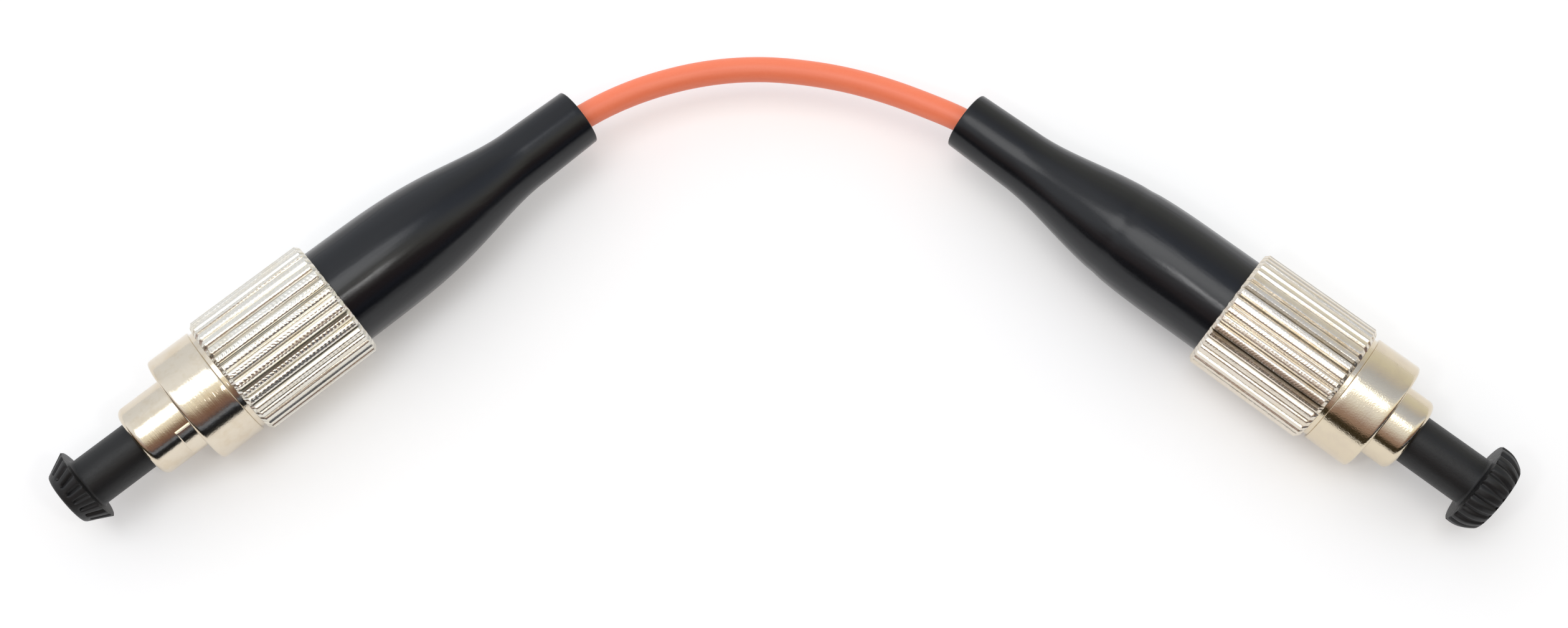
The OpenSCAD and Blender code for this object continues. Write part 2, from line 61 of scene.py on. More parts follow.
class Sock:
    """One output socket of a node tree. Arithmetic on it adds Math nodes."""

    def __init__(self, tree, socket):
        self.tree = tree
        self.socket = socket

    def __add__(self, other):
        return self.tree.math("ADD", self, other)

    def __sub__(self, other):
        return self.tree.math("SUBTRACT", self, other)

    def __rsub__(self, other):
        return self.tree.math("SUBTRACT", other, self)

    def __mul__(self, other):
        return self.tree.math("MULTIPLY", self, other)

    def __truediv__(self, other):
        return self.tree.math("DIVIDE", self, other)

    def __pow__(self, other):
        return self.tree.math("POWER", self, other)

    def __neg__(self):
        return self.tree.math("MULTIPLY", self, -1)

    __radd__ = __add__
    __rmul__ = __mul__


class Tree:
    """A node tree in the making. node() adds any node: its settings first, then its sockets."""

    def __init__(self, node_tree):
        self.tree = node_tree

    def node(self, kind, settings=None, sockets=None, out=0):
        made = self.tree.nodes.new(kind)
        for key, value in (settings or {}).items():
            if key == "ramp":
                fill_ramp(made.color_ramp, value)
            else:
                setattr(made, key, value)
        for key, value in (sockets or {}).items():
            self.feed(find_socket(made.inputs, key), value)
        return Sock(self, find_socket(made.outputs, out))

    def feed(self, socket, value):
        if isinstance(value, Sock):
            self.tree.links.new(value.socket, socket)
        else:
            socket.default_value = value

    def math(self, operation, a, b=0.0, c=None, clamp=False):
        sockets = {0: a, 1: b} if c is None else {0: a, 1: b, 2: c}
        return self.node("ShaderNodeMath", {"operation": operation, "use_clamp": clamp}, sockets)

    def clamp(self, a):
        return self.math("ADD", a, 0.0, clamp=True)

    def step(self, value, low, high):
        """0 below low, 1 above high, and smooth between."""
        kind = {"interpolation_type": "SMOOTHSTEP"}
        return self.node("ShaderNodeMapRange", kind, {"Value": value, "From Min": low, "From Max": high})

    def split(self, vector):
        made = self.tree.nodes.new("ShaderNodeSeparateXYZ")
        self.feed(made.inputs[0], vector)
        return [Sock(self, made.outputs[axis]) for axis in "XYZ"]

    def join(self, x, y, z):
        return self.node("ShaderNodeCombineXYZ", sockets={0: x, 1: y, 2: z})

    def scaled(self, vector, factors):
        return self.node("ShaderNodeVectorMath", {"operation": "MULTIPLY"}, {0: vector, 1: factors})

    def noise(self, vector, scale=1.0, detail=2.0, roughness=0.5):
        sockets = {"Vector": vector, "Scale": scale, "Detail": detail, "Roughness": roughness}
        return self.node("ShaderNodeTexNoise", {"noise_dimensions": "3D"}, sockets)

    def noise_along(self, value, detail=2.0, roughness=0.6):
        """Noise that changes only with one number, such as the distance along an axis."""
        sockets = {"W": value, "Scale": 1.0, "Detail": detail, "Roughness": roughness}
        return self.node("ShaderNodeTexNoise", {"noise_dimensions": "1D"}, sockets)

    def mix(self, factor, a, b):
        sockets = {"Factor_Float": factor, "A_Color": a, "B_Color": b}
        return self.node("ShaderNodeMix", {"data_type": "RGBA"}, sockets, "Result_Color")

    def ramp(self, factor, stops):
        return self.node("ShaderNodeValToRGB", {"ramp": stops}, {"Fac": factor})

    def bump(self, height, distance, normal=None, strength=1.0):
        sockets = {"Height": height, "Distance": distance, "Strength": strength}
        if normal is not None:
            sockets["Normal"] = normal
        return self.node("ShaderNodeBump", sockets=sockets)


def find_socket(sockets, key):
    if isinstance(key, int):
        return sockets[key]
    return next(s for s in sockets if key in (s.identifier, s.name))


def fill_ramp(ramp, stops):
    while len(ramp.elements) < len(stops):
        ramp.elements.new(1.0)
    for element, (position, colour) in zip(ramp.elements, stops):
        element.position = position
        element.color = (*colour, 1.0)


def colour(r, g, b):
    return (r, g, b, 1.0)


# ---------------------------------------------------------------- the two plugs


class Plug:
    """One plug's own axis, read from the joint that its nut turns on."""

    def __init__(self, side):
        self.side = side
        turn = next(j for j in frame["joints"] if j["name"] == f"{side}_nut_turn")
        self.axis = -Vector(turn["axis"]).normalized()
        across = self.axis.cross(UP)
        self.out = 1 if across.y < 0 else -1
        turned = Matrix((UP, across, self.axis)).transposed().to_4x4()
        self.place = Matrix.Translation(Vector(turn["pos_m"])) @ turned @ Matrix.Scale(MM, 4)
        first = self.reach("plug_frame")[0]
        self.front = Vector(turn["pos_m"]) + self.axis * first * MM
        self.place = Matrix.Translation(self.front) @ turned @ Matrix.Scale(MM, 4)
        self.heading = math.atan2(self.axis.y, self.axis.x)

    def reach(self, part):
        """Lowest and highest distance of a CAD node along the axis, and its greatest radius, in mm."""
        back = self.place.inverted()
        local = [back @ v.co for v in frame["nodes"][f"{self.side}_{part}"].data.vertices]
        along = [p.z for p in local]
        return min(along), max(along), max(math.hypot(p.x, p.y) for p in local)

    def point(self, distance):
        return self.front + self.axis * distance * MM


left, right = Plug("left"), Plug("right")
plugs = (left, right)
axis_height = left.front.z


# ---------------------------------------------------------------- camera


def aim_camera():
    data = bpy.data.cameras.new("camera")
    data.lens = 40.9
    data.sensor_width = 36
    data.clip_start = 0.005
    camera = bpy.data.objects.new("camera", data)
    scene.collection.objects.link(camera)
    tilt, roll = 0.3279, -0.0123
    stand = Matrix.Translation((0.0002, -0.04425, 0.1333))
    camera.matrix_world = stand @ Matrix.Rotation(tilt, 4, "X") @ Matrix.Rotation(roll, 4, "Z")
    scene.camera = camera


aim_camera()


# ---------------------------------------------------------------- meshes


def piece(name, vertices, faces, sharp=35):
    """A smooth-shaded object from its vertices and faces, turned the right way out."""
    mesh = bpy.data.meshes.new(name)
    mesh.from_pydata([tuple(v) for v in vertices], [], faces)
    shell = bmesh.new()
    shell.from_mesh(mesh)
    bmesh.ops.remove_doubles(shell, verts=shell.verts, dist=1e-5)
    bmesh.ops.recalc_face_normals(shell, faces=shell.faces)
    shell.to_mesh(mesh)
    shell.free()
    mesh.shade_smooth()
    mesh.set_sharp_from_angle(angle=math.radians(sharp))
    made = bpy.data.objects.new(name, mesh)
    scene.collection.objects.link(made)
    return made


def turned(name, outline, segments, angles=None, swell=None, sharp=35):
    """A closed shape turned about +Z from (distance, radius) points.

    swell(distance, radius, angle) gives each vertex's own radius, where the shape isn't quite round.
    """
    if angles is None:
        angles = [TAU * i / segments for i in range(segments)]
    count = len(angles)
    vertices, rings = [], []
    for distance, radius in outline:
        start = len(vertices)
        if radius < 1e-6:
            vertices.append((0, 0, distance))
            rings.append([start] * count)
            continue
        for angle in angles:
            r = swell(distance, radius, angle) if swell else radius
            vertices.append((r * math.cos(angle), r * math.sin(angle), distance))
        rings.append(range(start, start + count))
    faces = []
    pairs = list(zip(rings, rings[1:]))
    if outline[0][1] > 1e-6:
        pairs.append((rings[-1], rings[0]))
    for low, high in pairs:
        for i in range(count):
            j = (i + 1) % count
            corners = list(dict.fromkeys((low[i], low[j], high[j], high[i])))
            if len(corners) > 2:
                faces.append(corners)
    return piece(name, vertices, faces, sharp)


def arc(distance, radius, bend, start, end, steps):
    """Points of an arc about (distance, radius), from angle start to end in degrees.

    0 degrees points along the axis and 90 away from it.
    """
    return [
        (distance + bend * math.cos(math.radians(a)), radius + bend * math.sin(math.radians(a)))
        for a in np.linspace(start, end, steps + 1)
    ]


def straight(start, end, radius, steps, radius_end=None):
    """Points between two distances, both ends left out."""
    last = radius if radius_end is None else radius_end
    return [
        (start + (end - start) * i / steps, radius + (last - radius) * i / steps)
        for i in range(1, steps)
    ]


def settle(made, plug):
    """Puts a shape drawn in a plug's own millimetres in place, in metres, with its object at the origin."""
    made.data.transform(plug.place)
    made.data.update()
    return made


# ---------------------------------------------------------------- materials


def start_material(name):
    material = bpy.data.materials.new(name)
    material.use_nodes = True
    tree = Tree(material.node_tree)
    shader = next(n for n in material.node_tree.nodes if n.type == "BSDF_PRINCIPLED")
    return material, tree, shader


def finish_surface(tree, shader, **values):
    for key, value in values.items():
        tree.feed(shader.inputs[key.replace("_", " ").title().replace("Ior", "IOR")], value)


def plug_space(tree, plug):
    """Millimetres in a plug's own directions: x along the axis, y across, z up."""
    place = tree.node("ShaderNodeTexCoord", out="Object")
    sockets = {
        "Vector": place,
        "Location": tuple(plug.front),
        "Rotation": (0, 0, plug.heading),
        "Scale": (MM, MM, MM),
    }
    return tree.node("ShaderNodeMapping", {"vector_type": "TEXTURE"}, sockets)


def object_space(tree):
    """Millimetres in the object's own directions."""
    place = tree.node("ShaderNodeTexCoord", out="Object")
    sockets = {"Vector": place, "Scale": (MM, MM, MM)}
    return tree.node("ShaderNodeMapping", {"vector_type": "TEXTURE"}, sockets)


def turned_nickel(name, plug, tint, dark, streak, grit):
    """Nickel plate over turned brass: tool marks run round the axis, so reflections end in a ragged edge."""
    material, tree, shader = start_material(name)
    place = plug_space(tree, plug)
    rings = tree.noise(tree.scaled(place, (6.5, 0.22, 0.22)), 1.0, 3.0, 0.75)
    fingers = tree.noise(tree.scaled(place, (11, 1.1, 1.1)), 1.0, 2.0, 0.7)
    cloud = tree.noise(place, 0.9, 3.0, 0.6)
    grain = tree.noise(place, 8.0, 2.0, 0.65)
    marks = rings * streak + fingers * streak * 0.6
    normal = tree.bump(marks + grain * grit, 1.0e-5)
    stain = tree.step(cloud, 0.42, 0.72)
    tone = tree.mix(stain, colour(*tint), colour(*dark))
    finish_surface(
        tree, shader, base_color=tone, metallic=1.0,
        roughness=0.07 + fingers * 0.05 + grain * 0.05, normal=normal,
    )
    return material


def knurled_nickel(name, plug, tint, valley_shade_tone, beads, pitch, sugar):
    """The rolled grip: small beads or a sugary skin on the ribs, fine lines along them, and painted shade
    that darkens the valleys to near black.
    """
    material, tree, shader = start_material(name)
    place = plug_space(tree, plug)
    along, across, up = tree.split(place)
    valley = tree.node("ShaderNodeAttribute", {"attribute_name": "valley"}, out="Fac")
    flank = tree.node("ShaderNodeAttribute", {"attribute_name": "flank"}, out="Fac")
    lines = tree.noise(tree.scaled(place, (0.22, 6.5, 6.5)), 1.0, 3.0, 0.65)
    skin = tree.noise(tree.scaled(place, (6.0, 7.5, 7.5)), 1.0, 2.0, 0.6)
    cloud = tree.noise(place, 0.7, 3.0, 0.6)
    patch = tree.noise(tree.scaled(place, (0.25, 0.6, 0.6)), 1.0, 2.0, 0.5)
    shift = tree.noise(tree.scaled(place, (0.05, 1.5, 1.5)), 1.0, 1.0) * 26
    beat = tree.math("SINE", along * (TAU / pitch) + shift) * 0.5 + 0.5
    two_rows = 0.5 - tree.math("COSINE", flank * (2 * TAU)) * 0.5
    row = tree.mix(tree.step(patch, 0.45, 0.55), two_rows, 1 - tree.step(flank, 0.2, 0.6))
    upper = tree.step(up + across * 0.35, -1.5, 3.2)
    bead = beat * row * (0.35 + upper * 0.65) * (1 - tree.step(flank, 0.5, 0.7))
    height = lines * 0.9 + skin * sugar + bead * beads
    normal = tree.bump(height, 1.5e-5)
    # Painted shade: the valleys between the ribs get a near-black tone and are made rougher.
    painted_valley_shade = tree.step(valley + (lines - 0.5) * 0.5, 0.4, 1.05)
    tone = tree.mix(painted_valley_shade, colour(*tint), colour(*valley_shade_tone))
    warm = tree.mix(tree.step(cloud, 0.45, 0.7) * 0.5, tone, tree.scaled(tone, (0.94, 0.88, 0.76)))
    finish_surface(
        tree, shader, base_color=warm, metallic=1.0,
        roughness=0.17 + skin * 0.14 + painted_valley_shade * 0.2, normal=normal,
    )
    return material


def boot_rubber(name, plug, specks):
    """Glossy moulded black with a fine skin, and a few specks of dust where it has been handled."""
    material, tree, shader = start_material(name)
    place = plug_space(tree, plug)
    skin = tree.noise(place, 7.0, 3.0, 0.6)
    wave = tree.noise(tree.scaled(place, (0.12, 0.8, 0.8)), 1.0, 2.0, 0.5)
    normal = tree.bump(skin, 2.5e-6, tree.bump(wave, 4.0e-5))
    spots = tree.node("ShaderNodeTexVoronoi", {"feature": "F1"}, {"Vector": place, "Scale": 0.62}, "Distance")
    chosen = tree.node("ShaderNodeTexVoronoi", {"feature": "F1"}, {"Vector": place, "Scale": 0.62}, "Color")
    picked = tree.step(tree.split(chosen)[0], 0.80, 0.82)
    ragged = spots + (tree.noise(place, 12.0, 2.0) - 0.5) * 0.06
    speck = (1 - tree.step(ragged, 0.045, 0.075)) * picked * specks
    black = tree.mix(skin, colour(0.002, 0.0025, 0.004), colour(0.005, 0.006, 0.009))
    tone = tree.mix(speck, black, colour(0.8, 0.8, 0.8))
    finish_surface(
        tree, shader, base_color=tone, specular_ior_level=0.42,
        roughness=0.16 + skin * 0.08 + wave * 0.05 + speck * 0.4, normal=normal,
    )
    return material


def cap_plastic(name, plug):
    material, tree, shader = start_material(name)
    place = plug_space(tree, plug)
    skin = tree.noise(place, 6.0, 3.0, 0.65)
    flow = tree.noise(tree.scaled(place, (0.5, 2.2, 2.2)), 1.0, 3.0, 0.6)
    normal = tree.bump(skin * 0.6 + flow, 1.4e-5)
    tone = tree.mix(flow, colour(0.004, 0.004, 0.004), colour(0.010, 0.010, 0.011))
    finish_surface(
        tree, shader, base_color=tone, specular_ior_level=0.38,
        roughness=0.36 + skin * 0.2, normal=normal,
    )
    return material


def jacket(name):
    """The orange jacket: extruded, so its faint marks run along it."""
    material, tree, shader = start_material(name)
    run = tree.node("ShaderNodeUVMap", {"uv_map": "run"})
    length, turn, _ = tree.split(run)
    lines = tree.noise(tree.join(length * 0.25, turn * 14, 0.0), 1.0, 3.0, 0.6)
    grain = tree.noise(object_space(tree), 5.0, 2.0, 0.6)
    normal = tree.bump(lines * 0.5 + grain * 0.5, 6.0e-6)
    tone = tree.mix(lines * 0.6 + grain * 0.4, colour(0.94, 0.19, 0.085), colour(1.0, 0.27, 0.14))
    finish_surface(tree, shader, base_color=tone, roughness=0.34 + grain * 0.15, normal=normal)
    return material


def plain_metal(name, tint, stretch, rough):
    """Bright metal of the hidden parts, with even noise marks in its roughness and bump."""
    material, tree, shader = start_material(name)
    place = object_space(tree)
    marks = tree.noise(tree.scaled(place, stretch), 1.0, 3.0, 0.65)
    cloud = tree.noise(place, 1.1, 3.0, 0.6)
    tone = tree.mix(cloud, colour(*tint), tree.scaled(colour(*tint)[:3], (0.8, 0.78, 0.74)))
    finish_surface(
        tree, shader, base_color=tone, metallic=1.0, roughness=rough + marks * 0.18,
        normal=tree.bump(marks, 5.0e-6),
    )
    return material


def ceramic(name):
    material, tree, shader = start_material(name)
    cloud = tree.noise(object_space(tree), 1.5, 2.0, 0.5)
    tone = tree.mix(cloud, colour(0.88, 0.87, 0.82), colour(0.92, 0.91, 0.88))
    finish_surface(tree, shader, base_color=tone, roughness=0.08 + cloud * 0.08, coat_weight=0.3)
    return material


def buffer_plastic(name):
    material, tree, shader = start_material(name)
    cloud = tree.noise(object_space(tree), 2.0, 2.0, 0.5)
    tone = tree.mix(cloud, colour(0.80, 0.83, 0.84), colour(0.9, 0.92, 0.93))
    finish_surface(tree, shader, base_color=tone, roughness=0.25 + cloud * 0.1)
    return material


def yarn(name):
    material, tree, shader = start_material(name)
    strands = tree.noise(tree.scaled(object_space(tree), (7, 7, 7)), 1.0, 4.0, 0.7)
    tone = tree.mix(strands, colour(0.62, 0.42, 0.06), colour(0.92, 0.74, 0.22))
    normal = tree.bump(strands, 3.0e-5)
    finish_surface(tree, shader, base_color=tone, roughness=0.6 + strands * 0.2, normal=normal)
    return material


paint = {}
for plug in plugs:
    side = plug.side
    is_left = side == "left"
    bright = (0.71, 0.635, 0.52) if is_left else (0.70, 0.61, 0.465)
    silver = (0.78, 0.75, 0.68) if is_left else (0.77, 0.705, 0.61)
    stain = (0.67, 0.58, 0.45)
    # Near-black tone of the knurl valleys: painted shade, not the nickel's own colour.
    valley_shade_tone = (0.09, 0.085, 0.065) if is_left else (0.08, 0.065, 0.04)
    streak, grit = (0.9, 0.45) if is_left else (0.4, 0.8)
    beads, pitch, sugar = (1.5, 0.34, 0.35) if is_left else (0.4, 0.25, 0.8)
    paint[side, "turned"] = turned_nickel(f"turned_nickel_{side}", plug, bright, stain, streak, grit)
    paint[side, "knurl"] = knurled_nickel(f"knurled_nickel_{side}", plug, silver, valley_shade_tone, beads, pitch, sugar)
    paint[side, "boot"] = boot_rubber(f"boot_rubber_{side}", plug, 1.0 if is_left else 0.35)
    paint[side, "cap"] = cap_plastic(f"cap_plastic_{side}", plug)
paint["jacket"] = jacket("orange_jacket")
paint["steel"] = plain_metal("spring_steel", (0.62, 0.63, 0.65), (1.5, 1.5, 1.5), 0.2)
paint["crimp"] = plain_metal("crimp_metal", (0.70, 0.67, 0.60), (2.5, 2.5, 2.5), 0.3)
paint["body"] = plain_metal("hidden_nickel", (0.78, 0.73, 0.64), (4, 4, 4), 0.18)
paint["ceramic"] = ceramic("white_ceramic")
paint["buffer"] = buffer_plastic("fibre_buffer")
paint["yarn"] = yarn("aramid_yarn")


# ---------------------------------------------------------------- cable

CABLE_RADIUS = 1.0
CABLE_ROUTE = [
    (-31.0, 3.6), (-27.6, 6.4), (-23.0, 10.2), (-18.2, 14.1), (-15.7, 15.9), (-13.3, 17.3),
    (-10.5, 18.5), (-7.4, 19.4), (-4.3, 19.9), (-1.2, 20.0), (1.9, 19.7), (5.0, 19.1),
    (8.0, 18.2), (11.0, 17.0), (14.5, 15.3), (17.1, 13.4), (21.9, 9.5), (26.5, 5.7), (29.9, 2.9),
]  # fmt: skip


def smooth_route(points, steps):
    """A Catmull-Rom line through the route's points."""
    p = [Vector((x, y, 0)) for x, y in points]
    p = [2 * p[0] - p[1], *p, 2 * p[-1] - p[-2]]
    line = []
    for a, b, c, d in zip(p, p[1:], p[2:], p[3:]):
        for i in range(steps):
            t = i / steps
            square = (2 * a - 5 * b + 4 * c - d) * t**2
            cube = (3 * b - a - 3 * c + d) * t**3
            line.append(0.5 * (2 * b + (c - a) * t + square + cube))
    return [*line, p[-2]]


def draw_cable():
    line = smooth_route(CABLE_ROUTE, 12)
    sides = 40
    vertices, lengths, run = [], [], 0.0
    for i, centre in enumerate(line):
        ahead = (line[min(i + 1, len(line) - 1)] - line[max(i - 1, 0)]).normalized()
        aside = ahead.cross(UP)
        run += (centre - line[i - 1]).length if i else 0.0
        lengths.append(run)
        for k in range(sides):
            a = TAU * k / sides
            vertices.append(centre + CABLE_RADIUS * (math.cos(a) * aside + math.sin(a) * UP))
    faces = [
        (i * sides + k, i * sides + (k + 1) % sides, (i + 1) * sides + (k + 1) % sides, (i + 1) * sides + k)
        for i in range(len(line) - 1)
        for k in range(sides)
    ]
    last = (len(line) - 1) * sides
    faces += [list(range(sides))[::-1], [last + k for k in range(sides)]]
    made = piece("orange_cable", vertices, faces)
    uv = made.data.uv_layers.new(name="run")
    for loop in made.data.loops:
        ring, k = divmod(loop.vertex_index, sides)
        uv.data[loop.index].uv = (lengths[ring], k / sides)
    made.data.transform(Matrix.Translation((0, 0, axis_height)) @ Matrix.Scale(MM, 4))
    made.data.materials.append(paint["jacket"])
    path = [Vector((c.x * MM, c.y * MM, axis_height)) for c in line]
    return made, path, run * MM


cable, cable_path, cable_length = draw_cable()
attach(cable, "cable_and_plugs")
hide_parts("cable")
boot_mouth = left.reach("boot")[1]
left.point(boot_mouth)  # fmt: skip


# ---------------------------------------------------------------- ribs, grown by one tree


def rib_tree():
    """Cuts ribs into the part of a turned shape that its 'ribbed' attribute marks.

    The shape is in millimetres about +Z. Ribs have a rounded top, narrow valleys, and an uneven width and
    height; chatter leaves rows of small dimples along their tops.
    """
    made = bpy.data.node_groups.new("ribs", "GeometryNodeTree")
    sockets = {
        "Count": "NodeSocketFloat", "Depth": "NodeSocketFloat", "Land": "NodeSocketFloat",
        "Sway": "NodeSocketFloat", "Uneven": "NodeSocketFloat", "Chatter": "NodeSocketFloat",
        "Chatter Pitch": "NodeSocketFloat", "Seed": "NodeSocketFloat", "Material": "NodeSocketMaterial",
    }  # fmt: skip
    made.interface.new_socket("Geometry", in_out="INPUT", socket_type="NodeSocketGeometry")
    for name, kind in sockets.items():
        made.interface.new_socket(name, in_out="INPUT", socket_type=kind)
    made.interface.new_socket("Geometry", in_out="OUTPUT", socket_type="NodeSocketGeometry")
    tree = Tree(made)
    inputs = made.nodes.new("NodeGroupInput")
    given = {s.name: Sock(tree, s) for s in inputs.outputs if s.name}

    x, y, z = tree.split(tree.node("GeometryNodeInputPosition"))
    radius = tree.math("POWER", x * x + y * y, 0.5)
    ring = tree.join(x / radius, y / radius, given["Seed"])
    ribbed = tree.node(
        "GeometryNodeInputNamedAttribute", {"data_type": "FLOAT"}, {"Name": "ribbed"}, "Attribute"
    )
    sway = tree.noise(tree.scaled(ring, (5.5, 5.5, 1.0)), 1.0, 1.0) - 0.5
    cell = tree.math("ARCTAN2", y, x) * given["Count"] / TAU + sway * given["Sway"]
    share = tree.math("FRACT", cell)
    from_top = tree.math("ABSOLUTE", share - 0.5) * 2
    cut = tree.step(from_top, given["Land"], 1.0)
    crown = from_top * from_top * 0.16
    uneven = tree.noise(tree.scaled(ring, (8.0, 8.0, 3.0)), 1.0, 1.0)
    deep = 1 - given["Uneven"] * tree.step(uneven, 0.35, 0.7)
    drop = (cut + crown) * deep * given["Depth"]
    beat = tree.noise(tree.join(x * 2.2, y * 2.2, z * 0.35 + given["Seed"]), 1.0, 1.0)
    rows = tree.math("SINE", z * TAU / given["Chatter Pitch"] + beat * 9)
    halves = tree.math("COSINE", (share - 0.5) * (2 * TAU))
    bead = (rows * 0.5 + 0.5) * (0.65 + halves * 0.35)
    strong = tree.step(tree.noise(tree.scaled(ring, (4.0, 4.0, 2.0)), 1.0, 1.0), 0.35, 0.62)
    drop = drop + bead * (0.25 + strong * 0.75) * (1 - cut) * given["Chatter"]
    scale = 1 - drop * ribbed / radius
    placed = tree.join(x * scale, y * scale, z)
    shaped = tree.node(
        "GeometryNodeSetPosition", sockets={"Geometry": given["Geometry"], "Position": placed}
    )
    stored = {"data_type": "FLOAT", "domain": "POINT"}
    marked = shaped
    for attribute, value in (("valley", cut * deep * ribbed), ("flank", from_top)):
        sockets = {"Geometry": marked, "Name": attribute, "Value": value}
        marked = tree.node("GeometryNodeStoreNamedAttribute", stored, sockets)
    whole = tree.node("GeometryNodeRealizeInstances", sockets={"Geometry": marked})
    selected = tree.math("GREATER_THAN", ribbed, 0.02)
    painted = tree.node(
        "GeometryNodeSetMaterial",
        sockets={"Geometry": whole, "Selection": selected, "Material": given["Material"]},
    )
    output = made.nodes.new("NodeGroupOutput")
    tree.feed(output.inputs["Geometry"], painted)
    return made


def cut_ribs(made, tree, ribbed, values):
    """Runs the rib tree on a turned shape and keeps the result as a plain mesh."""
    mask = made.data.attributes.new("ribbed", "FLOAT", "POINT")
    mask.data.foreach_set("value", [ribbed(v.co.z, math.hypot(v.co.x, v.co.y)) for v in made.data.vertices])
    modifier = made.modifiers.new("ribs", "NODES")
    modifier.node_group = tree
    for item in tree.interface.items_tree:
        if item.item_type == "SOCKET" and item.in_out == "INPUT" and item.name in values:
            modifier[item.identifier] = values[item.name]
    graph = bpy.context.evaluated_depsgraph_get()
    mesh = bpy.data.meshes.new_from_object(
        made.evaluated_get(graph), preserve_all_data_layers=True, depsgraph=graph
    )
    made.modifiers.clear()
    made.data = mesh
    mesh.shade_smooth()
    mesh.set_sharp_from_angle(angle=math.radians(48))
    return made


ribs = rib_tree()


# ---------------------------------------------------------------- plug frames

FRAME_R = 3.0
FRAME_MOUTH_R = 2.25
FRAME_MOUTH_LEN = 4.8
FRAME_BORE_R = 2.6
LIP_R = 0.55
FLANGE_START, FLANGE_END, FLANGE_R, FLANGE_BEVEL = 8.3, 9.3, 3.45, 0.1
KEY_START, KEY_LEN, KEY_W, KEY_H, KEY_TURN = 2.6, 5.0, 2.1, 0.4, 60
KEY_BEVEL, KEY_RISE = 0.035, 0.1


def plug_frame(plug):
    low, high, _ = plug.reach("plug_frame")
    half = math.asin(KEY_W / 2 / FRAME_R)
    middle = plug.out * math.radians(KEY_TURN)
    corner = [KEY_BEVEL * share for share in (1.0, 0.4, 0.0, -0.5, -1.3)]
    edges = [middle + s * (half + d) for s in (-1, 1) for d in corner]
    angles = sorted({round(a % TAU, 5) for a in edges + [TAU * i / 144 for i in range(144)]})
    key_rows = [KEY_START + d for d in (0.0, 0.02, 0.07, 0.14)]
    key_end = KEY_START + KEY_LEN

    def raised(distance, radius, angle):
        if radius < FRAME_R - 0.01 or not KEY_START < distance < key_end:
            return radius
        off = abs((angle - middle + math.pi) % TAU - math.pi)
        side = min(max((half + KEY_BEVEL * 0.4 - off) / (KEY_BEVEL * 0.9), 0.0), 1.0)
        end = min(max((distance - KEY_START) / KEY_RISE, 0.0), 1.0)
        return radius + KEY_H * math.sin(side * math.pi / 2) * math.sin(end * math.pi / 2)

    outline = [
        *arc(low + 0.22, FRAME_MOUTH_R + 0.22, 0.22, 270, 180, 6),
        *arc(low + LIP_R, FRAME_R - LIP_R, LIP_R, 180, 90, 12),
        *straight(low + LIP_R, KEY_START, FRAME_R, 6),
        *[(d, FRAME_R) for d in key_rows],
        *straight(key_rows[-1], key_end, FRAME_R, 14),
        (key_end - 0.01, FRAME_R), (key_end, FRAME_R),
        (FLANGE_START, FRAME_R), (FLANGE_START, FLANGE_R - FLANGE_BEVEL),
        (FLANGE_START + FLANGE_BEVEL, FLANGE_R), (FLANGE_END - FLANGE_BEVEL, FLANGE_R),
        (FLANGE_END, FLANGE_R - FLANGE_BEVEL), (FLANGE_END, FRAME_R),
        (high - 0.1, FRAME_R), (high, FRAME_R - 0.1),
        (high, FRAME_BORE_R), (FRAME_MOUTH_LEN, FRAME_BORE_R), (FRAME_MOUTH_LEN, FRAME_MOUTH_R),
        (low + 0.6, FRAME_MOUTH_R),
    ]  # fmt: skip
    made = turned(f"{plug.side}_front_frame", outline, len(angles), angles, raised, 30)
    made.data.materials.append(paint[plug.side, "turned"])
    settle(made, plug)
    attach(made, "cable_and_plugs")
    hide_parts(f"{plug.side}_plug_frame")
    return made


# ---------------------------------------------------------------- coupling nuts

COLLAR_LEN = 4.0
COLLAR_R = 4.55
COLLAR_EDGE = 0.3
KNURL_R = 5.0
KNURL_CHAMFER = 0.3
KNURL_ROW = 0.085
UNDERCUT_W, UNDERCUT_R = 0.35, 4.35
THREAD_R, THREAD_DEPTH, THREAD_PITCH = 3.6, 0.42, 0.75
WEB_START, WEB_LEN, WEB_BORE_R = 7.5, 1.5, 3.05
REAR_BORE_R = 4.3
RIB_COUNT = 38
SEGMENTS_PER_RIB = 10


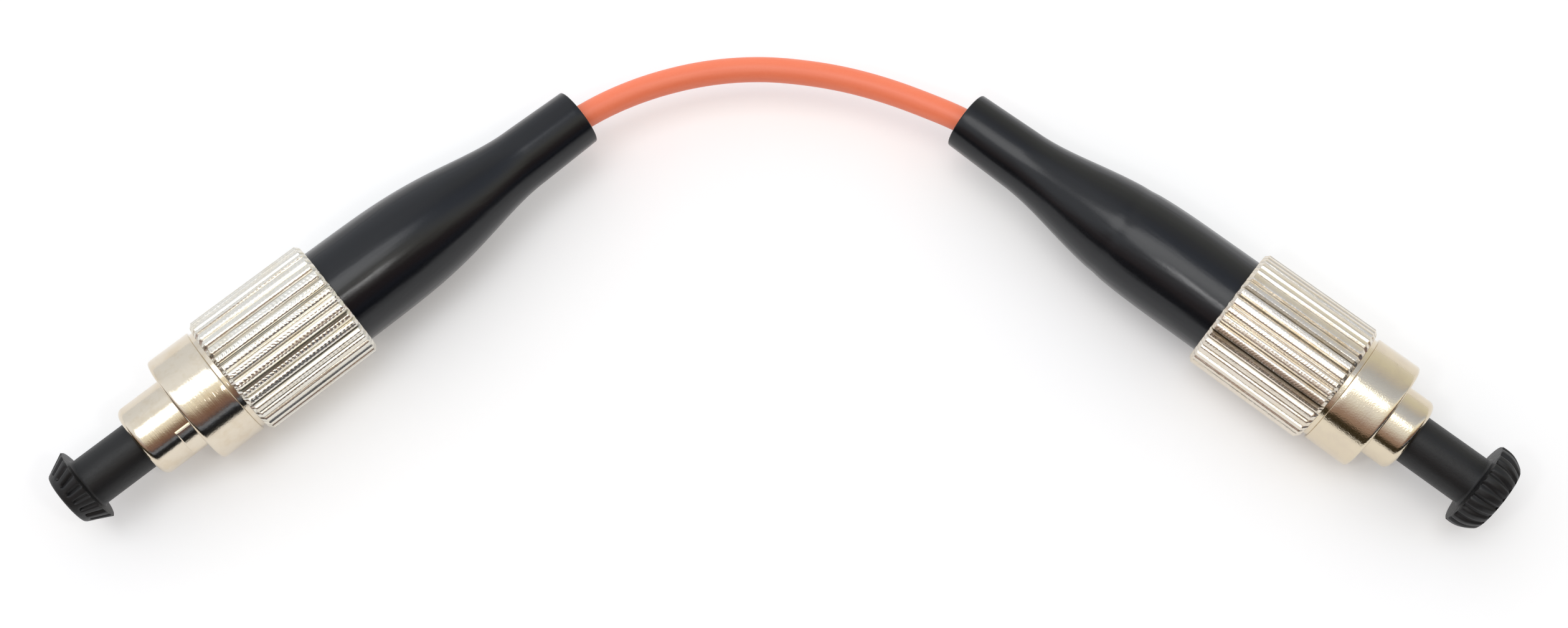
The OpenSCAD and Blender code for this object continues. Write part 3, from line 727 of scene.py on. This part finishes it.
def coupling_nut(plug):
    front, rear, _ = plug.reach("coupling_nut")
    knurl_start = front + COLLAR_LEN
    low_r = KNURL_R - KNURL_CHAMFER
    high_r = KNURL_R - 0.02
    slope_start, slope_end = knurl_start + KNURL_CHAMFER, rear - KNURL_CHAMFER
    rows = round((slope_end - slope_start) / KNURL_ROW)
    thread_rows = round((WEB_START - 0.5) / THREAD_PITCH * 7)
    outline = [
        *arc(front + 0.12, THREAD_R + 0.45, 0.12, 225, 180, 2),
        *arc(front + COLLAR_EDGE, COLLAR_R - COLLAR_EDGE, COLLAR_EDGE, 180, 90, 6),
        *straight(front + COLLAR_EDGE, knurl_start - UNDERCUT_W, COLLAR_R, 8),
        *arc(knurl_start - UNDERCUT_W - 0.08, COLLAR_R - 0.08, 0.08, 90, 0, 3),
        (knurl_start - UNDERCUT_W + 0.02, UNDERCUT_R), (knurl_start, UNDERCUT_R),
        (knurl_start, low_r - 0.12), (knurl_start + 0.02, low_r + 0.02),
        *straight(knurl_start + 0.02, slope_start, low_r + 0.02, 4, high_r),
        *straight(slope_start - KNURL_ROW, slope_end + KNURL_ROW, KNURL_R, rows),
        *straight(slope_end, rear - 0.02, high_r, 4, low_r + 0.02),
        (rear - 0.02, low_r + 0.02), (rear, low_r - 0.12),
        (rear, REAR_BORE_R + 0.12), (rear - 0.12, REAR_BORE_R),
        (front + WEB_START + WEB_LEN, REAR_BORE_R), (front + WEB_START + WEB_LEN, WEB_BORE_R),
        (front + WEB_START, WEB_BORE_R), (front + WEB_START, THREAD_R + THREAD_DEPTH),
        *straight(front + WEB_START - 0.1, front + 0.42, THREAD_R + THREAD_DEPTH * 0.5, thread_rows),
        (front + 0.42, THREAD_R + 0.08),
    ]  # fmt: skip

    def threaded(distance, radius, angle):
        if abs(radius - (THREAD_R + THREAD_DEPTH * 0.5)) > 1e-6 or distance > front + WEB_START:
            return radius
        phase = (distance / THREAD_PITCH - angle / TAU) % 1.0
        vee = min(max(1.25 * (1 - 2 * abs(phase - 0.5)) - 0.1, 0.0), 1.0)
        fade = min((distance - front - 0.35) / 0.4, 1.0)
        return THREAD_R + THREAD_DEPTH * (vee * fade + (1 - fade) * 0.3)

    def ribbed(distance, radius):
        if radius < low_r - 0.2:
            return 0.0
        edge = min(distance - knurl_start, rear - distance)
        return min(max(0.45 + edge / (2 * KNURL_CHAMFER), 0.0), 1.0) if edge > -0.01 else 0.0

    made = turned(f"{plug.side}_threaded_nut", outline, RIB_COUNT * SEGMENTS_PER_RIB, swell=threaded)
    made.data.materials.append(paint[plug.side, "turned"])
    is_left = plug.side == "left"
    cut_ribs(made, ribs, ribbed, {
        "Count": float(RIB_COUNT), "Depth": 0.27, "Land": 0.5, "Sway": 0.6,
        "Uneven": 0.5 if is_left else 0.35, "Chatter": 0.02 if is_left else 0.008,
        "Chatter Pitch": 0.36, "Seed": 3.0 if is_left else 11.0, "Material": paint[plug.side, "knurl"],
    })  # fmt: skip
    settle(made, plug)
    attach(made, f"{plug.side}_nut")
    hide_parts(f"{plug.side}_coupling_nut")
    return made


# ---------------------------------------------------------------- boots

BOOT_R, BOOT_END_R = 4.075, 2.35
BOOT_STRAIGHT, BOOT_TAIL, BOOT_FULLNESS = 5.4, 5.2, 1.5
BOOT_MOUTH_R, BOOT_CABLE_R, BOOT_BORE_R = 1.65, 1.25, 2.8
BOOT_DENT = 11.6


def boot_radius(share):
    """Radius between the shoulder, at 0, and the tail, at 1."""
    tail = BOOT_END_R + 0.12
    return tail + (BOOT_R - tail) * (0.5 + 0.5 * math.cos(math.pi * share**BOOT_FULLNESS))


def boot(plug):
    start, end, _ = plug.reach("boot")
    shoulder, tail = start + BOOT_STRAIGHT, end - BOOT_TAIL
    steps = 64
    taper = [(shoulder + (tail - shoulder) * i / steps, boot_radius(i / steps)) for i in range(steps + 1)]
    outline = [
        (start, BOOT_R - 0.25), *arc(start + 0.25, BOOT_R - 0.25, 0.25, 180, 90, 4),
        *straight(start + 0.25, shoulder, BOOT_R, 12), *taper,
        *straight(tail, end - 0.12, BOOT_END_R + 0.12, 12, BOOT_END_R),
        *arc(end - 0.12, BOOT_END_R - 0.12, 0.12, 90, 0, 5),
        *arc(end - 0.1, BOOT_MOUTH_R + 0.1, 0.1, 0, -90, 4),
        *straight(end - 0.1, end - 3.0, BOOT_MOUTH_R, 6, BOOT_CABLE_R),
        (end - 3.0, BOOT_CABLE_R), (start + 14.0, BOOT_CABLE_R), (start + 13.0, 1.7), (start + 7.5, 1.7),
        (start + 6.5, BOOT_BORE_R), (start + 1.0, BOOT_BORE_R),
        (start + 1.0, FRAME_R + 0.01), (start, FRAME_R + 0.01),
    ]  # fmt: skip
    dent_at = start + BOOT_DENT

    def sag(distance, radius, angle):
        if radius < 2.2:
            return radius
        dent = 0.035 * math.exp(-((distance - dent_at) / 0.5) ** 2) if plug.side == "right" else 0.0
        return radius * (1 + 0.004 * math.sin(2 * angle + 0.7) * math.sin(0.3 * distance)) - dent

    made = turned(f"{plug.side}_black_boot", outline, 128, swell=sag)
    made.data.materials.append(paint[plug.side, "boot"])
    settle(made, plug)
    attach(made, "cable_and_plugs")
    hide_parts(f"{plug.side}_boot")
    return made


# ---------------------------------------------------------------- dust caps

CAP_ROD_R = 1.975
CAP_HOLE_R = 1.27
CAPS = {
    "left": {"reach": 4.75, "length": 1.75, "wide": 3.0, "tip": 2.1, "bulge": 0.0},
    "right": {"reach": 5.5, "length": 2.0, "wide": 3.35, "tip": 2.65, "bulge": 0.25},
}
CAP_RIBS = 20


def dust_cap(plug):
    low, high, _ = plug.reach("dust_cap")
    size = CAPS[plug.side]
    reach, length = size["reach"], size["length"]
    rows = 14

    def head(share):
        cone = size["wide"] + (size["tip"] - size["wide"]) * share
        return cone + size["bulge"] * math.sin(math.pi * share)

    floor = -2.5
    outline = [
        (low, 0.0), (low, size["tip"] * 0.5), (low, size["tip"] - 0.12),
        (-reach - length + 0.03, head(1.0) - 0.03),
        *[(-reach - length * (1 - i / rows), head(1 - i / rows)) for i in range(1, rows + 1)],
        (-reach + 0.06, size["wide"] - 0.08), (-reach + 0.06, CAP_ROD_R + 0.25),
        *arc(-reach + 0.06 + 0.22, CAP_ROD_R + 0.22, 0.22, 180, 270, 5),
        *straight(-reach + 0.3, high - 0.2, CAP_ROD_R, 12),
        (high - 0.2, CAP_ROD_R), (high, CAP_ROD_R - 0.15),
        (high, CAP_HOLE_R + 0.12), (high - 0.15, CAP_HOLE_R), (floor, CAP_HOLE_R), (floor, 0.0),
    ]  # fmt: skip

    def ribbed(distance, radius):
        inside = -reach - length + 0.02 < distance < -reach + 0.03 and radius > CAP_ROD_R + 0.4
        return 1.0 if inside else 0.0

    made = turned(f"{plug.side}_black_cap", outline, CAP_RIBS * 14)
    made.data.materials.append(paint[plug.side, "cap"])
    cut_ribs(made, ribs, ribbed, {
        "Count": float(CAP_RIBS), "Depth": 0.2, "Land": 0.35, "Sway": 0.12,
        "Uneven": 0.3, "Chatter": 0.0, "Chatter Pitch": 1.0,
        "Seed": 5.0 if plug.side == "left" else 8.0, "Material": paint[plug.side, "cap"],
    })  # fmt: skip
    settle(made, plug)
    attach(made, f"{plug.side}_cap")
    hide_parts(f"{plug.side}_dust_cap")
    return made


for plug in plugs:
    plug_frame(plug)
    coupling_nut(plug)
    boot(plug)
    dust_cap(plug)


# ---------------------------------------------------------------- CAD pieces that stay

STAYING = {
    "ferrule": "ceramic", "ferrule_holder": "body", "spring": "steel", "fibre": "buffer",
    "rear_body": "body", "retaining_clip": "steel", "aramid_yarn": "yarn", "crimp_sleeve": "crimp",
}  # fmt: skip
for plug in plugs:
    for part, finish in STAYING.items():
        node = frame["nodes"][f"{plug.side}_{part}"]
        node.data.materials.clear()
        node.data.materials.append(paint[finish])


# ---------------------------------------------------------------- stage and light

FLOOR_GLOW = 0.14
# What the walls look like from the part: an angle, 0 straight up and positive towards the front, and a tone
ROOM_LEFT = [
    (-90, (0.85, 0.88, 0.93)), (-45, (0.90, 0.93, 0.98)), (-27, (1.02, 1.05, 1.10)), (18, (1.05, 1.08, 1.12)),
    (25, (0.95, 0.98, 1.02)), (33, (0.75, 0.72, 0.70)), (42, (0.57, 0.49, 0.47)), (52, (0.38, 0.265, 0.225)),
    (63, (0.35, 0.25, 0.20)), (68, (0.045, 0.036, 0.02)), (91, (0.04, 0.03, 0.015)), (95, (0.9, 0.9, 0.9)),
]  # fmt: skip
ROOM_RIGHT = [
    (-83, (0.865, 0.857, 0.79)), (-57, (0.78, 0.77, 0.67)), (-35, (0.64, 0.635, 0.64)),
    (-25, (0.575, 0.62, 0.71)), (-8, (0.69, 0.76, 0.90)), (7, (1.15, 1.16, 1.12)), (15, (1.09, 1.04, 0.86)),
    (23, (0.97, 0.90, 0.76)), (31, (0.46, 0.39, 0.31)), (41, (0.263, 0.158, 0.116)),
    (54, (0.22, 0.14, 0.125)), (59, (0.06, 0.055, 0.06)), (63, (0.26, 0.29, 0.36)),
    (67, (0.18, 0.21, 0.27)), (70, (0.014, 0.016, 0.02)), (91, (0.01, 0.01, 0.01)), (95, (0.9, 0.9, 0.9)),
]  # fmt: skip


def lay_floor():
    half = 2.0
    corners = [(-half, -half, 0), (half, -half, 0), (half, half, 0), (-half, half, 0)]
    made = piece("floor", corners, [(0, 1, 2, 3)])
    material = bpy.data.materials.new("white_floor")
    material.use_nodes = True
    nodes = material.node_tree
    tree = Tree(nodes)
    output = next(n for n in nodes.nodes if n.type == "OUTPUT_MATERIAL")
    path = nodes.nodes.new("ShaderNodeLightPath")
    camera_ray, glossy_ray, clear_ray = (
        Sock(tree, path.outputs[f"Is {kind} Ray"]) for kind in ("Camera", "Glossy", "Transmission")
    )
    seen = tree.math("MAXIMUM", tree.math("MAXIMUM", camera_ray, glossy_ray), clear_ray)
    paper = tree.node("ShaderNodeBsdfDiffuse", sockets={"Color": colour(0.95, 0.95, 0.95)})
    glow = tree.node("ShaderNodeEmission", sockets={"Color": colour(1, 1, 1), "Strength": seen * FLOOR_GLOW})
    both = tree.node("ShaderNodeAddShader", sockets={0: paper, 1: glow})
    tree.feed(output.inputs["Surface"], both)
    made.data.materials.append(material)


def light_room():
    """A room that is bright overhead, pale behind, warm in front and dark low in front."""
    world = bpy.data.worlds.new("room")
    scene.world = world
    world.use_nodes = True
    nodes = world.node_tree
    tree = Tree(nodes)
    background = next(n for n in nodes.nodes if n.type == "BACKGROUND")
    x, y, z = tree.split(tree.node("ShaderNodeTexCoord", out="Generated"))
    turn = tree.math("ARCTAN2", -y, z) / TAU + 0.5
    walls = [
        tree.ramp(turn, [(angle / 360 + 0.5, tone) for angle, tone in stops])
        for stops in (ROOM_LEFT, ROOM_RIGHT)
    ]
    room = tree.mix(tree.step(x, -0.25, 0.25), *walls)
    path = nodes.nodes.new("ShaderNodeLightPath")
    shown = tree.mix(Sock(tree, path.outputs["Is Camera Ray"]), room, colour(1, 1, 1))
    tree.feed(background.inputs["Color"], shown)


def hang_lamp(name, towards, distance, size, power, tint=(1, 1, 1)):
    data = bpy.data.lights.new(name, "AREA")
    data.shape = "RECTANGLE"
    data.size, data.size_y = size
    data.energy = power
    data.color = tint
    lamp = bpy.data.objects.new(name, data)
    scene.collection.objects.link(lamp)
    direction = Vector(towards).normalized()
    facing = direction.to_track_quat("Z", "Y").to_matrix().to_4x4()
    lamp.matrix_world = Matrix.Translation(direction * distance) @ facing
    return lamp


lay_floor()
light_room()
hang_lamp("overhead", (-0.165, -0.03, 0.985), 0.6, (0.24, 0.39), 0.68)
spot = hang_lamp("near_lamp", (0, -0.033, 0.086), 0.092, (0.008, 0.008), 0.005)
spot.visible_camera = False
